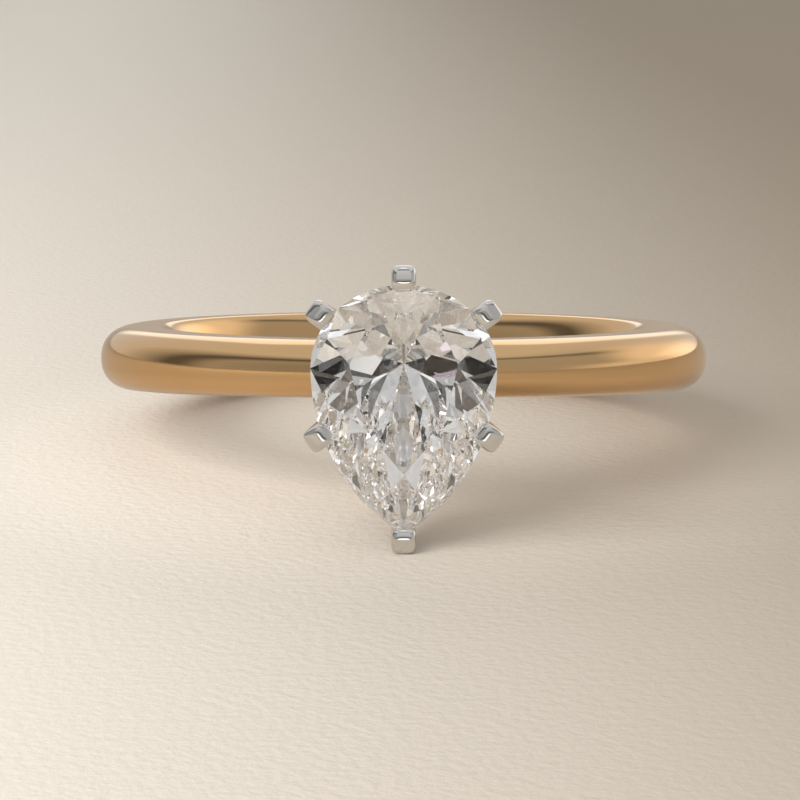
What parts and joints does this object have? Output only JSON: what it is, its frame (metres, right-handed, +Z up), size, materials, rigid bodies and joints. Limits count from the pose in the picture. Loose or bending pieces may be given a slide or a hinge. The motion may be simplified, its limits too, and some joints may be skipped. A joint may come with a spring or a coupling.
{
  "type": "engagement ring",
  "caption": "Solitaire finger ring: a tapered domed shank carrying a claw head that holds a pear-cut stone, lying on its side.",
  "frame": {"origin": "bottom centre of the bounding box of the ring as it lies at rest, on the surface it lies on", "axes": "+Z up from the surface, +Y from the stone to the back of the shank, +X across the ring; the stone faces -Y and the ring leans 9.5 degrees back onto its claw at the stone's point"},
  "size_m": [0.0216, 0.026, 0.0087],
  "materials": {
    "yellow_gold": "polished 14 carat yellow gold",
    "white_gold": "polished rhodium-plated white gold",
    "diamond": "clear faceted diamond"
  },
  "bodies": {
    "root": {"shank": "yellow_gold", "head_peg": "white_gold", "base_plate": "white_gold", "gallery_rail": "white_gold", "prong_heel": "white_gold", "prong_heel_left": "white_gold", "prong_heel_right": "white_gold", "prong_tail_left": "white_gold", "prong_tail_right": "white_gold", "prong_tip": "white_gold", "pear_diamond": "diamond"}
  },
  "joints": []
}
